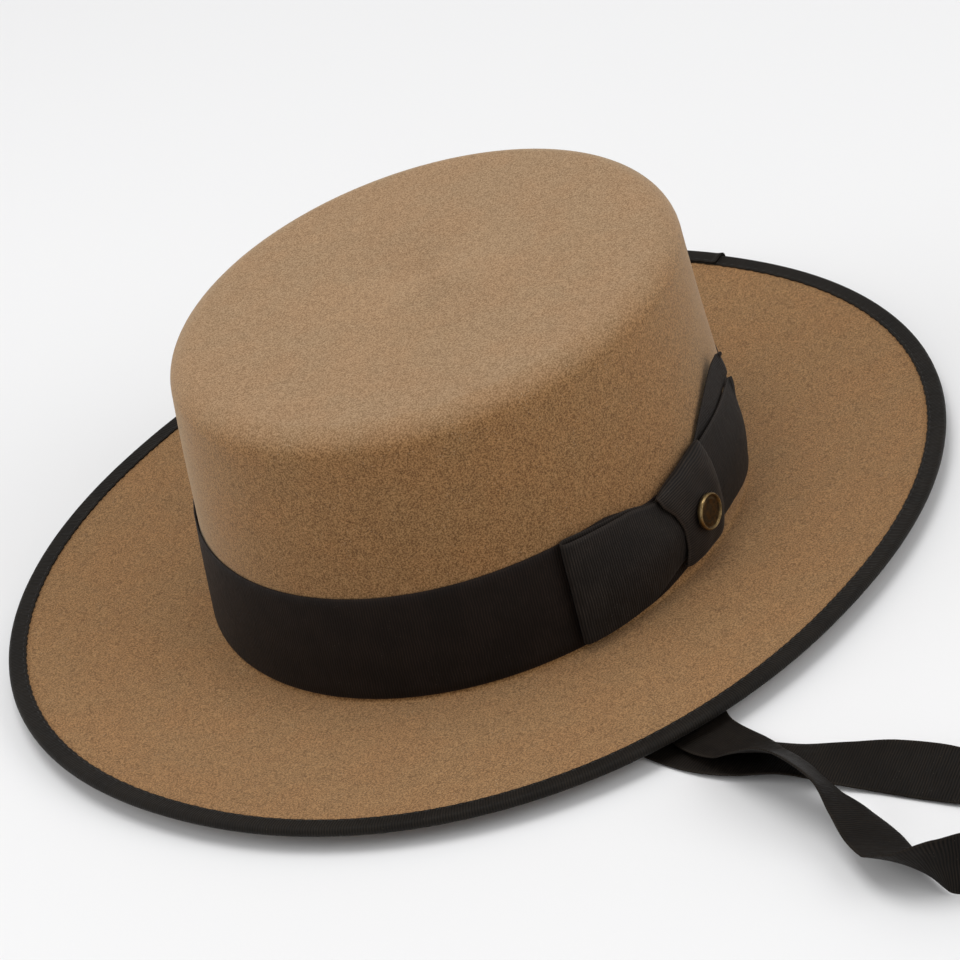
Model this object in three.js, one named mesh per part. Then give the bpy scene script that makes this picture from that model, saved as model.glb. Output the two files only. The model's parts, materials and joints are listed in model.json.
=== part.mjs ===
// A felt hat with a flat round crown and a stiff flat brim: a ribbon band with a side bow and a small
// stud on the knot, a ribbon binding over the brim's edge, and a ribbon chin strap that lies on the
// surface the hat rests on.
// Millimetres, +X to the front, +Y to the wearer's left, +Z up, floor at z = 0.

import * as THREE from "three";

// Driving dimensions of the felt
const FELT = 2.0;
const FELT_AT_EDGE = 1.4;
const CROWN_FOOT = { z: 3.6, halfLength: 97.9, halfWidth: 87.4 };
const CROWN_TOP = { z: 98.25, halfLength: 93.8, halfWidth: 78.5 };
const TOP_ROUNDING = 8.3;
const BRIM = { halfLength: 171.1, halfWidth: 148.2, squareness: 2.13, edgeLevel: 6.9 };
const SIDE_LIFT = 2.8;
const REST_FLATTENING = 0.1;
const BREAK_FILLET = { above: 1.0, below: 3.3 };
const REST_FLAT_TO = 6.0;
const BRIM_CURVE = 1.3;

// Driving dimensions of the ribbons
const GAP = 0.3;
const RIBBON = 1.0;
const BAND = { lift: 1.2, height: 37.3 };
const PINCH_TOP = { from: -42, full: -20, hold: 60, to: 100, depth: 5.0 };
const PINCH_BOTTOM = { from: -34, full: 14, hold: 14, to: 62, depth: 5.0 };
const BINDING = { width: 6.3, foldStart: 1.6, shoulder: 0.5, shoulderLevel: 0.7 };
const STRAP_WIDTH = 20.0;

// Driving dimensions of the stud
const STUD = { angle: 92.5, z: 25.0, offset: 7.1, radius: 6.1, thickness: 2.0 };
const STUD_FACE = { rim: 1.0, recess: 0.7, chamfer: 0.4 };

// Where the faceted faces have their rows: shares of the brim's width and of the fillet at its root
const BRIM_ROWS = { top: [1, 0.75, 0.5, 0.25, 0.08], underside: [0, 0.2, 0.45, 0.72, 1] };
const FILLET_MIDDLE = 0.3;
const SEGMENTS = 72;
const STUD_SEGMENTS = 32;
const ROUNDING_STEPS = 3;
const STEPS_PER_ROW = 2;
const COLUMNS = { wing: 2, knot: 6, strap: 4 };
const STRAP_STEPS_PER_ROW = 3;

// The bow sits on the band at the wearer's left. Places on it are given by the run along the band from
// the middle of the bow, positive to the back, and by the offset from the crown's wall.
const BOW = { angle: 94.2, runPerDegree: 1.55 };
const TAIL_LEAN = { under: 1.0, over: 6.0 };
const KNOT_SLANT = 5.4;

const { cos, sin, PI, abs, max, hypot } = Math;
const radians = THREE.MathUtils.degToRad;
const { lerp, smoothstep } = THREE.MathUtils;

const COLOUR = { felt: 0x9a7448, ribbon: 0x26211e, brass: 0x8d6f3a };
const felt = new THREE.MeshStandardMaterial({ color: COLOUR.felt, roughness: 0.95, metalness: 0 });
const ribbon = new THREE.MeshStandardMaterial({ color: COLOUR.ribbon, roughness: 0.8, metalness: 0 });
const brass = new THREE.MeshStandardMaterial({ color: COLOUR.brass, roughness: 0.35, metalness: 1 });

const hat = new THREE.Group();

function addMesh(name, geometry, material, parent = hat) {
  const mesh = new THREE.Mesh(geometry, material);
  mesh.name = name;
  parent.add(mesh);
  return mesh;
}

// The crown's wall is an oval that narrows evenly from its foot to its top.
function wallRadius(angle, z, offset) {
  const share = (z - CROWN_FOOT.z) / (CROWN_TOP.z - CROWN_FOOT.z);
  const length = lerp(CROWN_FOOT.halfLength, CROWN_TOP.halfLength, share) + offset;
  const width = lerp(CROWN_FOOT.halfWidth, CROWN_TOP.halfWidth, share) + offset;
  return 1 / hypot(cos(angle) / length, sin(angle) / width);
}

// A point beside the crown's wall, offset millimetres outside it.
function onWall(angle, z, offset) {
  const radius = wallRadius(angle, z, offset);
  return new THREE.Vector3(radius * cos(angle), radius * sin(angle), z);
}

// The brim's outline is a slightly squared oval.
function brimRadius(angle) {
  const length = (abs(cos(angle)) / BRIM.halfLength) ** BRIM.squareness;
  const width = (abs(sin(angle)) / BRIM.halfWidth) ** BRIM.squareness;
  return (length + width) ** (-1 / BRIM.squareness);
}

// The break, where crown and brim meet, is low at the front and back and higher at the sides.
function breakLift(angle) {
  return (SIDE_LIFT * (1 - cos(2 * angle))) / 2;
}

function breakTop(angle) {
  return FELT + breakLift(angle);
}

function breakUnderside(angle) {
  return max(0, breakLift(angle) - REST_FLATTENING);
}

// The two faces of the felt brim, which rises gently from the break to its edge.
function feltEdge(angle) {
  return brimRadius(angle) - RIBBON - GAP;
}

function brimShare(angle, radius, startOffset) {
  const start = wallRadius(angle, CROWN_FOOT.z, startOffset);
  return max(0, (radius - start) / (feltEdge(angle) - start)) ** BRIM_CURVE;
}

function brimTop(angle, radius) {
  const share = brimShare(angle, radius, BREAK_FILLET.above);
  return lerp(breakTop(angle), BRIM.edgeLevel + FELT_AT_EDGE / 2, share);
}

function brimUnderside(angle, radius) {
  const share = brimShare(angle, radius, REST_FLAT_TO);
  return lerp(breakUnderside(angle), BRIM.edgeLevel - FELT_AT_EDGE / 2, share);
}

// A turned body whose profile changes with the angle. The profile's points are radius and height, and
// it starts and ends on the axis or closes on itself.
function turned(profileAt) {
  const points = profileAt(0);
  const geometry = new THREE.LatheGeometry(points, SEGMENTS);
  const position = geometry.getAttribute("position");
  for (let i = 0; i <= SEGMENTS; i++) {
    const angle = (2 * PI * (i % SEGMENTS)) / SEGMENTS;
    profileAt(angle).forEach((point, j) => {
      const x = point.x * cos(angle);
      const y = point.x * sin(angle);
      position.setXYZ(i * points.length + j, x, y, point.y);
    });
  }
  geometry.computeVertexNormals();
  return geometry;
}

// Quarter turns for the rounded edges of the felt
const QUARTER = Array.from({ length: ROUNDING_STEPS + 1 }, (_, i) => (i * PI) / 2 / ROUNDING_STEPS);

// The felt's outer face from the brim's edge to the middle of the top, then its inner face back out.
function feltProfile(angle) {
  const { above, below } = BREAK_FILLET;
  const foot = breakTop(angle);
  const floor = breakUnderside(angle);
  const innerRounding = TOP_ROUNDING - FELT;
  const wall = (z, offset) => new THREE.Vector2(wallRadius(angle, z, offset), z);
  const onBrim = (level, startOffset) => (share) => {
    const radius = lerp(wallRadius(angle, CROWN_FOOT.z, startOffset), feltEdge(angle), share);
    return new THREE.Vector2(radius, level(angle, radius));
  };
  const onTop = onBrim(brimTop, above);
  const onUnderside = onBrim(brimUnderside, REST_FLAT_TO);
  return [
    ...BRIM_ROWS.top.map(onTop),
    wall(foot, above),
    wall(foot + above * FILLET_MIDDLE, above * FILLET_MIDDLE),
    wall(foot + above, 0),
    ...QUARTER.map((turn) =>
      wall(CROWN_TOP.z - TOP_ROUNDING * (1 - sin(turn)), -TOP_ROUNDING * (1 - cos(turn))),
    ),
    new THREE.Vector2(0, CROWN_TOP.z),
    new THREE.Vector2(0, CROWN_TOP.z - FELT),
    ...QUARTER.map((turn) =>
      wall(CROWN_TOP.z - FELT - innerRounding * (1 - cos(turn)), -FELT - innerRounding * (1 - sin(turn))),
    ),
    ...QUARTER.map((turn) => wall(floor + below * (1 - sin(turn)), -FELT + below * (1 - cos(turn)))),
    ...BRIM_ROWS.underside.map(onUnderside),
    onTop(1),
  ];
}

// How far the bow draws one edge of the band in: it starts, stays full for a while and goes back
function pinch(angle, { from, full, hold, to, depth }) {
  const run = (angle / radians(1) - BOW.angle) * BOW.runPerDegree;
  return depth * (smoothstep(run, from, full) - smoothstep(run, hold, to));
}

// The band is a flat ribbon round the crown's foot. It follows the break, and the bow pinches it.
function bandProfile(angle) {
  const foot = breakTop(angle) + BAND.lift;
  const low = foot + pinch(angle, PINCH_BOTTOM);
  const high = foot + BAND.height - pinch(angle, PINCH_TOP);
  const rows = [
    [low, GAP + RIBBON],
    [(low + high) / 2, GAP + RIBBON],
    [high, GAP + RIBBON],
    [high, GAP],
    [low, GAP],
    [low, GAP + RIBBON],
  ];
  return rows.map(([z, offset]) => new THREE.Vector2(wallRadius(angle, z, offset), z));
}

// The binding is a ribbon folded over the brim's edge, with a rounded fold.
function bindingProfile(angle) {
  const outside = brimRadius(angle);
  const inside = outside - BINDING.width;
  const top = brimTop(angle, inside);
  const underside = brimUnderside(angle, inside);
  const half = FELT_AT_EDGE / 2 + GAP + RIBBON;
  const shoulder = BINDING.shoulderLevel * half;
  const middle = BRIM.edgeLevel;
  const rows = [
    [inside, top + GAP + RIBBON],
    [inside, top + GAP],
    [outside - RIBBON, middle + half - RIBBON],
    [outside - RIBBON, middle - half + RIBBON],
    [inside, underside - GAP],
    [inside, underside - GAP - RIBBON],
    [outside - BINDING.foldStart, middle - half],
    [outside - BINDING.shoulder, middle - shoulder],
    [outside, middle],
    [outside - BINDING.shoulder, middle + shoulder],
    [outside - BINDING.foldStart, middle + half],
    [inside, top + GAP + RIBBON],
  ];
  return rows.map(([radius, z]) => new THREE.Vector2(radius, z));
}

addMesh("felt_body", turned(feltProfile), felt);
addMesh("hat_band", turned(bandProfile), ribbon);
addMesh("brim_binding", turned(bindingProfile), ribbon);

// A straight strip of ribbon, bent into place. The place is a function of the share along the strip,
// the share across it and the height above its middle plane.
function bentRibbon(steps, columns, place) {
  const geometry = new THREE.BoxGeometry(1, RIBBON, 1, steps, 1, columns);
  const position = geometry.getAttribute("position");
  for (let i = 0; i < position.count; i++) {
    const point = place(position.getX(i) + 0.5, position.getZ(i) + 0.5, position.getY(i));
    position.setXYZ(i, point.x, point.y, point.z);
  }
  geometry.computeVertexNormals();
  return geometry;
}

function columnPair(rows, first, second) {
  return new THREE.SplineCurve(rows.map((row) => new THREE.Vector2(row[first], row[second])));
}

// A point beside a line at a share of its length, on the line's left.
function besideLine(line, along, height) {
  const tangent = line.getTangent(along);
  return line.getPoint(along).add(new THREE.Vector2(-tangent.y, tangent.x).multiplyScalar(height));
}

function onBow(run, z, offset) {
  return onWall(radians(BOW.angle + run / BOW.runPerDegree), z, offset);
}

// A wing of the bow. Towards its end it may lean, with its upper edge further along than its lower one.
function bowWing(rows, lean = 0) {
  const line = columnPair(rows, "run", "offset");
  const edges = columnPair(rows, "high", "low");
  return bentRibbon(STEPS_PER_ROW * (rows.length - 1), COLUMNS.wing, (along, across, height) => {
    const { x: run, y: offset } = besideLine(line, along, height);
    const { x: high, y: low } = edges.getPoint(along);
    return onBow(run + lean * along * (0.5 - across), lerp(high, low, across), offset);
  });
}

// The loop: out from the knot against the band, round the fold and back on the outside
const LOOP = [
  { run: -4.0, offset: 2.1, low: 13.8, high: 38.2 },
  { run: -16.0, offset: 2.1, low: 12.4, high: 37.2 },
  { run: -32.0, offset: 2.1, low: 8.2, high: 41.6 },
  { run: -48.0, offset: 2.1, low: 7.4, high: 43.2 },
  { run: -56.6, offset: 2.1, low: 7.4, high: 43.8 },
  { run: -57.9, offset: 2.6, low: 7.4, high: 43.8 },
  { run: -58.4, offset: 3.4, low: 7.4, high: 43.8 },
  { run: -57.8, offset: 4.3, low: 7.4, high: 43.8 },
  { run: -56.5, offset: 4.7, low: 7.4, high: 43.8 },
  { run: -47.9, offset: 4.8, low: 7.4, high: 43.2 },
  { run: -31.9, offset: 4.6, low: 8.2, high: 41.6 },
  { run: -15.9, offset: 3.7, low: 12.4, high: 37.2 },
  { run: -3.9, offset: 3.4, low: 13.8, high: 38.2 },
];

// The two cut ends: the under one rises above the band, the over one follows it and stands out
const TAIL_UNDER = [
  { run: 3.0, offset: 2.1, low: 24.0, high: 42.0 },
  { run: 10.0, offset: 2.1, low: 27.5, high: 43.8 },
  { run: 17.0, offset: 2.1, low: 32.0, high: 48.0 },
  { run: 28.0, offset: 2.3, low: 39.5, high: 53.2 },
  { run: 37.0, offset: 2.7, low: 45.5, high: 56.2 },
  { run: 42.0, offset: 3.1, low: 48.8, high: 57.2 },
];
const TAIL_OVER = [
  { run: 3.0, offset: 3.4, low: 13.8, high: 42.4 },
  { run: 12.0, offset: 3.6, low: 13.6, high: 43.3 },
  { run: 24.0, offset: 4.1, low: 14.0, high: 44.2 },
  { run: 36.0, offset: 4.8, low: 15.2, high: 45.6 },
  { run: 42.5, offset: 5.3, low: 17.0, high: 45.4 },
];

// The knot: up from the band's lower edge, over the bow and in behind its upper edge
const KNOT = [
  { z: 10.5, offset: 2.2, left: -15.0, right: 8.5 },
  { z: 10.3, offset: 3.1, left: -15.0, right: 8.5 },
  { z: 11.0, offset: 4.4, left: -15.0, right: 8.5 },
  { z: 13.6, offset: 5.2, left: -14.8, right: 9.0 },
  { z: 18.0, offset: 5.9, left: -13.8, right: 10.0 },
  { z: 25.0, offset: 6.2, left: -13.4, right: 10.5 },
  { z: 32.0, offset: 6.0, left: -15.2, right: 10.5 },
  { z: 38.0, offset: 5.5, left: -19.0, right: 9.5 },
  { z: 41.0, offset: 4.9, left: -19.6, right: 9.0 },
  { z: 42.4, offset: 3.9, left: -19.6, right: 9.0 },
  { z: 42.6, offset: 2.8, left: -19.6, right: 9.0 },
  { z: 42.0, offset: 2.0, left: -19.6, right: 9.0 },
];

function bowKnot() {
  const line = columnPair(KNOT, "z", "offset");
  const edges = columnPair(KNOT, "left", "right");
  return bentRibbon(STEPS_PER_ROW * (KNOT.length - 1), COLUMNS.knot, (along, across, height) => {
    const { x: z, y: offset } = besideLine(line, along, height);
    const { x: left, y: right } = edges.getPoint(along);
    return onBow(lerp(left, right, across), z + KNOT_SLANT * along * (across - 0.5), offset);
  });
}

addMesh("bow_loop", bowWing(LOOP), ribbon);
addMesh("bow_tail_under", bowWing(TAIL_UNDER, TAIL_LEAN.under), ribbon);
addMesh("bow_tail_over", bowWing(TAIL_OVER, TAIL_LEAN.over), ribbon);
addMesh("bow_knot", bowKnot(), ribbon);

// The stud: a bare round badge with a raised rim, square to the crown's wall
function stud() {
  const { radius, thickness } = STUD;
  const { rim, recess, chamfer } = STUD_FACE;
  const profile = [
    [0, 0],
    [radius - chamfer, 0],
    [radius, chamfer],
    [radius, thickness - chamfer],
    [radius - chamfer, thickness],
    [radius - rim, thickness],
    [radius - rim - chamfer, thickness - recess],
    [0, thickness - recess],
  ];
  return new THREE.LatheGeometry(profile.map(([x, y]) => new THREE.Vector2(x, y)), STUD_SEGMENTS);
}

const studPlace = new THREE.Group();
const studAngle = radians(STUD.angle);
const outward = onWall(studAngle, STUD.z, 1).sub(onWall(studAngle, STUD.z, 0));
outward.z = (CROWN_FOOT.halfWidth - CROWN_TOP.halfWidth) / (CROWN_TOP.z - CROWN_FOOT.z);
studPlace.position.copy(onWall(studAngle, STUD.z, STUD.offset));
studPlace.quaternion.setFromUnitVectors(new THREE.Vector3(0, 1, 0), outward.normalize());
hat.add(studPlace);
addMesh("bow_stud", stud(), brass, studPlace);

// The chin strap is one loop of flat ribbon: down the inner wall at the front left, out under the brim,
// along the floor, back in and across under the head opening to the front right. Each row gives the
// ribbon's middle, and the way its width points: turn about the vertical and tilt above the floor.
const STRAP = [
  { x: 33.7, y: 75.6, z: 34.0, turn: -19, tilt: 0 },
  { x: 34.6, y: 77.4, z: 9.0, turn: -19, tilt: 0 },
  { x: 35.1, y: 78.3, z: 3.2, turn: -19, tilt: 0 },
  { x: 36.6, y: 82.0, z: 0.9, turn: -20, tilt: 0 },
  { x: 39.5, y: 91.0, z: 0.95, turn: -24, tilt: 0 },
  { x: 47.5, y: 107.0, z: 1.3, turn: -34, tilt: 0 },
  { x: 59.0, y: 119.5, z: 2.1, turn: -42, tilt: 0 },
  { x: 72.5, y: 134.0, z: 2.3, turn: -29, tilt: 0 },
  { x: 77.8, y: 150.6, z: 4.2, turn: -20, tilt: 10 },
  { x: 81.6, y: 160.0, z: 7.8, turn: -21, tilt: 26 },
  { x: 85.2, y: 170.3, z: 11.9, turn: -21, tilt: 40 },
  { x: 89.5, y: 180.9, z: 14.0, turn: -20, tilt: 48 },
  { x: 92.9, y: 191.8, z: 11.6, turn: -20, tilt: 52 },
  { x: 97.0, y: 201.8, z: 7.4, turn: -23, tilt: 37 },
  { x: 102.4, y: 211.9, z: 4.9, turn: -20, tilt: 23 },
  { x: 109.0, y: 221.9, z: 5.6, turn: -8, tilt: 28 },
  { x: 113.6, y: 231.4, z: 8.4, turn: 10, tilt: 52 },
  { x: 113.0, y: 241.0, z: 10.7, turn: 8, tilt: 84 },
  { x: 108.7, y: 248.5, z: 10.5, turn: 4, tilt: 100 },
  { x: 105.0, y: 258.5, z: 10.7, turn: 4, tilt: 95 },
  { x: 99.0, y: 272.0, z: 10.7, turn: 4, tilt: 90 },
  { x: 82.5, y: 282.5, z: 10.7, turn: 4, tilt: 90 },
  { x: 63.0, y: 275.5, z: 10.7, turn: 6, tilt: 84 },
  { x: 54.5, y: 257.0, z: 9.9, turn: 10, tilt: 62 },
  { x: 60.3, y: 241.5, z: 5.3, turn: 10, tilt: 24 },
  { x: 65.6, y: 228.0, z: 3.4, turn: 10, tilt: -9 },
  { x: 68.3, y: 212.0, z: 3.9, turn: 10, tilt: -18 },
  { x: 69.8, y: 197.0, z: 3.3, turn: 11, tilt: -13 },
  { x: 72.4, y: 183.0, z: 2.6, turn: 13, tilt: -1 },
  { x: 76.3, y: 168.0, z: 2.9, turn: 12, tilt: 11 },
  { x: 79.2, y: 152.0, z: 1.5, turn: 7, tilt: 4 },
  { x: 80.0, y: 137.0, z: 0.8, turn: -4, tilt: 0 },
  { x: 76.0, y: 115.0, z: 0.75, turn: -20, tilt: 0 },
  { x: 54.0, y: 70.5, z: 0.7, turn: -20, tilt: 0 },
  { x: 33.0, y: 0.0, z: 0.75, turn: -9, tilt: 0 },
  { x: 31.0, y: -64.5, z: 0.85, turn: 6, tilt: 0 },
  { x: 34.0, y: -73.4, z: 1.8, turn: 18, tilt: 0 },
  { x: 35.1, y: -76.9, z: 5.2, turn: 19, tilt: 0 },
  { x: 34.4, y: -77.0, z: 14.0, turn: 19, tilt: 0 },
  { x: 33.7, y: -75.6, z: 34.0, turn: 19, tilt: 0 },
];

function chinStrap() {
  const smooth = (points) => new THREE.CatmullRomCurve3(points, false, "centripetal");
  const route = smooth(STRAP.map(({ x, y, z }) => new THREE.Vector3(x, y, z)));
  const lay = smooth(STRAP.map(({ turn, tilt }) => new THREE.Vector3(radians(turn), radians(tilt), 0)));
  const steps = STRAP_STEPS_PER_ROW * (STRAP.length - 1);
  return bentRibbon(steps, COLUMNS.strap, (along, share, height) => {
    const tangent = route.getTangent(along);
    const { x: turn, y: tilt } = lay.getPoint(along);
    const across = new THREE.Vector3(cos(turn) * cos(tilt), sin(turn) * cos(tilt), sin(tilt));
    across.addScaledVector(tangent, -across.dot(tangent)).normalize();
    const face = new THREE.Vector3().crossVectors(across, tangent);
    const middle = route.getPoint(along);
    return middle.addScaledVector(across, (share - 0.5) * STRAP_WIDTH).addScaledVector(face, height);
  });
}

addMesh("chin_strap", chinStrap(), ribbon);

export default hat;
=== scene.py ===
"""A felt hat with a flat crown and a flat brim, with its ribbons, its bow and its chin strap.

The hat rests on a pale floor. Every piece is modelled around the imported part, in metres, with +X to the
front, +Y to the wearer's left, where the bow is, and +Z up.
"""

import json
import logging
import math
from dataclasses import dataclass
from enum import Enum
from itertools import accumulate
from typing import Callable, Sequence

import bpy
from mathutils import Matrix, Vector

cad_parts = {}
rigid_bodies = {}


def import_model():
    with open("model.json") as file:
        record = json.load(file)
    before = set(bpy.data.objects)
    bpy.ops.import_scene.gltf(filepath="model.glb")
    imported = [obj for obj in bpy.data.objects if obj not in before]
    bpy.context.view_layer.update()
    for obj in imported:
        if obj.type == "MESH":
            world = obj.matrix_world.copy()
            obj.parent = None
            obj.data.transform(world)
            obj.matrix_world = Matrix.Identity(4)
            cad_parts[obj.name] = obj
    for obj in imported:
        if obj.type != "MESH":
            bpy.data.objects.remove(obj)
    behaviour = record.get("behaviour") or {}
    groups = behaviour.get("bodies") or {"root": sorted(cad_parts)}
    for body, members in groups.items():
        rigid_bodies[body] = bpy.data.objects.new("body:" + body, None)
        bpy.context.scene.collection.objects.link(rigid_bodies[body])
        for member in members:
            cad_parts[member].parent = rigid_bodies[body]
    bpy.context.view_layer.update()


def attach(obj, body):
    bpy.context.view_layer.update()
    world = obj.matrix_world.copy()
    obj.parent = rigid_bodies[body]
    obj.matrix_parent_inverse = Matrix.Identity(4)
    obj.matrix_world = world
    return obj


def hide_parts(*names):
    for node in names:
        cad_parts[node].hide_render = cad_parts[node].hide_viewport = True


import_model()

LOG = logging.getLogger("hat")
MM = 0.001
BODY = "root"
FULL_TURN = 2.0 * math.pi
QUARTER_TURN = math.pi / 2.0

Material = bpy.types.Material
Mesh = bpy.types.Mesh
Piece = bpy.types.Object
Socket = bpy.types.NodeSocket
Colour = tuple[float, float, float, float]
Faces = list[tuple[int, ...]]
Profile = list[tuple[float, float]]
Place = Callable[[float, float, float], Vector]

WHITE: Colour = (1.0, 1.0, 1.0, 1.0)


class Slot(Enum):
    """The record's material slots."""

    FELT = "felt"
    RIBBON = "ribbon"
    BRASS = "brass"


class Face(Enum):
    """The two faces of the brim."""

    TOP = 1
    UNDERSIDE = -1


def blend(first: float, second: float, share: float) -> float:
    """Returns the value at a share of the way from the first to the second."""
    return first + (second - first) * share


def spread(first: float, last: float, steps: int) -> list[float]:
    """Returns evenly spaced values from the first to the last, both with them."""
    return [blend(first, last, i / steps) for i in range(steps + 1)]


def around(count: int) -> list[float]:
    """Returns evenly spaced angles round a full turn, in radians."""
    return [FULL_TURN * k / count for k in range(count)]


def polar(radius: float, angle: float, level: float) -> Vector:
    """Returns the point at a distance and an angle from the upright axis, at a level."""
    return Vector((radius * math.cos(angle), radius * math.sin(angle), level))


def smooth_step(low: float, high: float, value: float) -> float:
    """Rises smoothly from 0 where the value is low to 1 where it is high, and returns the height there."""
    share = min(max((value - low) / (high - low), 0.0), 1.0)
    return share * share * (3.0 - 2.0 * share)


def hump(middle: float, reach: float, value: float) -> float:
    """Returns a smooth hump that is 1 at its middle and 0 from its reach outwards."""
    return 1.0 - smooth_step(0.0, reach, abs(value - middle))


class Route:
    """A smooth line through given points, with even speed inside each stretch."""

    EVENNESS = 0.25
    TINY = 1e-4
    NEARBY = 0.0005

    def __init__(self, points: Sequence[Vector]) -> None:
        """Keeps the points, with one more beyond each end.

        Args:
            points: The points, in their order along the line.
        """
        first, last = points[0] * 2.0 - points[1], points[-1] * 2.0 - points[-2]
        self.stretches = len(points) - 1
        self.padded = [first, *points, last]

    def gap(self, near: Vector, far: Vector, otherwise: float) -> float:
        """Returns the pace between two points, or another pace where they are the same point."""
        pace = (far - near).length_squared ** self.EVENNESS
        return pace if pace > self.TINY else otherwise

    def at(self, share: float) -> Vector:
        """Finds a point of the line.

        Args:
            share: The share of the way through the rows of points.

        Returns:
            The point there.
        """
        start = min(int(share * self.stretches), self.stretches - 1)
        weight = share * self.stretches - start
        before, low, high, after = self.padded[start:start + 4]
        step = self.gap(low, high, 1.0)
        step_in, step_out = self.gap(before, low, step), self.gap(high, after, step)
        leaving = (low - before) / step_in - (high - before) / (step_in + step) + (high - low) / step
        arriving = (high - low) / step - (after - low) / (step + step_out) + (after - high) / step_out
        leaving, arriving = leaving * step, arriving * step
        bend = (high - low) * 3.0 - leaving * 2.0 - arriving
        turn = (low - high) * 2.0 + leaving + arriving
        return low + leaving * weight + bend * weight**2 + turn * weight**3

    def direction(self, share: float) -> Vector:
        """Returns the line's direction at a share of the way, one metre long."""
        ahead, behind = min(share + self.NEARBY, 1.0), max(share - self.NEARBY, 0.0)
        return (self.at(ahead) - self.at(behind)).normalized()


@dataclass(frozen=True)
class CrownWall:
    """The crown's upright wall: an oval that narrows evenly from its foot to its top."""

    foot_level: float = 3.6 * MM
    foot_half_length: float = 97.9 * MM
    foot_half_width: float = 87.4 * MM
    top_level: float = 98.25 * MM
    top_half_length: float = 93.8 * MM
    top_half_width: float = 78.5 * MM

    def radius(self, angle: float, level: float, offset: float = 0.0) -> float:
        """Measures the wall from the crown's axis.

        Args:
            angle: The way out from the axis, in radians from the front.
            level: The height above the floor.
            offset: How far outside the wall to measure.

        Returns:
            The distance from the axis.
        """
        share = (level - self.foot_level) / (self.top_level - self.foot_level)
        length = blend(self.foot_half_length, self.top_half_length, share) + offset
        width = blend(self.foot_half_width, self.top_half_width, share) + offset
        return 1.0 / math.hypot(math.cos(angle) / length, math.sin(angle) / width)

    def point(self, angle: float, level: float, offset: float = 0.0) -> Vector:
        """Returns the point beside the wall at an angle, a level and an offset outside it."""
        return polar(self.radius(angle, level, offset), angle, level)


WALL = CrownWall()


@dataclass(frozen=True)
class Brim:
    """The felt brim: a slightly squared oval that rises gently from the break to its bound edge."""

    half_length: float = 171.1 * MM
    half_width: float = 148.2 * MM
    squareness: float = 2.13
    edge_level: float = 6.9 * MM
    edge_thickness: float = 1.9 * MM
    edge_inset: float = 1.0 * MM
    felt: float = 2.0 * MM
    side_lift: float = 2.8 * MM
    rest_flattening: float = 0.1 * MM
    fillet_above: float = 1.0 * MM
    flat_to: float = 6.0 * MM
    curve: float = 1.3

    def outline(self, angle: float) -> float:
        """Measures the bound edge from the axis.

        Args:
            angle: The way out from the axis, in radians from the front.

        Returns:
            The distance from the axis.
        """
        length = (abs(math.cos(angle)) / self.half_length) ** self.squareness
        width = (abs(math.sin(angle)) / self.half_width) ** self.squareness
        return (length + width) ** (-1.0 / self.squareness)

    def felt_edge(self, angle: float) -> float:
        """Returns the distance of the felt's own cut edge from the axis."""
        return self.outline(angle) - self.edge_inset

    def break_top(self, angle: float) -> float:
        """Returns the level of the brim's upper face where it meets the crown."""
        return self.felt + self.side_lift * (1.0 - math.cos(2.0 * angle)) / 2.0

    def break_underside(self, angle: float) -> float:
        """Returns the level of the brim's lower face where it meets the crown."""
        return max(0.0, self.break_top(angle) - self.felt - self.rest_flattening)

    def level(self, angle: float, radius: float, face: Face) -> float:
        """Finds the level of one face of the felt brim.

        Args:
            angle: The way out from the axis, in radians from the front.
            radius: The distance from the axis.
            face: Which face of the brim.

        Returns:
            The height above the floor.
        """
        on_top = face is Face.TOP
        start = WALL.radius(angle, WALL.foot_level, self.fillet_above if on_top else self.flat_to)
        share = max(0.0, (radius - start) / (self.felt_edge(angle) - start)) ** self.curve
        root = self.break_top(angle) if on_top else self.break_underside(angle)
        return blend(root, self.edge_level + face.value * self.edge_thickness / 2.0, share)


BRIM = Brim()


@dataclass(frozen=True)
class BowSeat:
    """Where the bow sits on the crown, and how it draws the band's edges in, in millimetres.

    The pull on the band's top edge and on its bottom edge has four runs: where it starts, is full, lets go
    and ends.
    """

    angle: float = 94.2
    run_per_degree: float = 1.55
    depth: float = 5.0
    top: tuple[float, float, float, float] = (-42.0, -20.0, 60.0, 100.0)
    bottom: tuple[float, float, float, float] = (-34.0, 14.0, 14.0, 62.0)

    def point(self, run: float, level: float, offset: float) -> Vector:
        """Returns the point beside the crown's wall at a run, a level and an offset in millimetres."""
        angle = math.radians(self.angle + run / self.run_per_degree)
        return WALL.point(angle, level * MM, offset * MM)

    def pinch(self, angle: float) -> tuple[float, float]:
        """Measures how far the band's edges are drawn in.

        Args:
            angle: The way out from the axis, in radians from the front.

        Returns:
            How far the upper edge comes down and how far the lower edge goes up, in metres.
        """
        run = (math.degrees(angle) % 360.0 - self.angle) * self.run_per_degree
        down, up = (
            smooth_step(start, full, run) - smooth_step(hold, end, run)
            for start, full, hold, end in (self.top, self.bottom)
        )
        return down * self.depth * MM, up * self.depth * MM


SEAT = BowSeat()


def add_object(name: str, data: bpy.types.ID) -> Piece:
    """Puts a new object in the scene.

    Args:
        name: The object's name.
        data: Its mesh, camera or light.

    Returns:
        The object.
    """
    thing = bpy.data.objects.new(name, data)
    bpy.context.scene.collection.objects.link(thing)
    return thing


def new_piece(mesh: Mesh, slot: Slot, finishes: Sequence[Material], *nodes: str) -> Piece:
    """Puts a finished mesh in the scene as a piece of the hat, under the mesh's own name.

    Args:
        mesh: The mesh.
        slot: The record's material slot; not used.
        finishes: Its materials.
        nodes: The part's nodes that it stands for.

    Returns:
        The new piece.
    """
    piece = add_object(mesh.name, mesh)
    for finish in finishes:
        mesh.materials.append(finish)
    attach(piece, BODY)
    if nodes:
        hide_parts(*nodes)
    return piece


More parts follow.
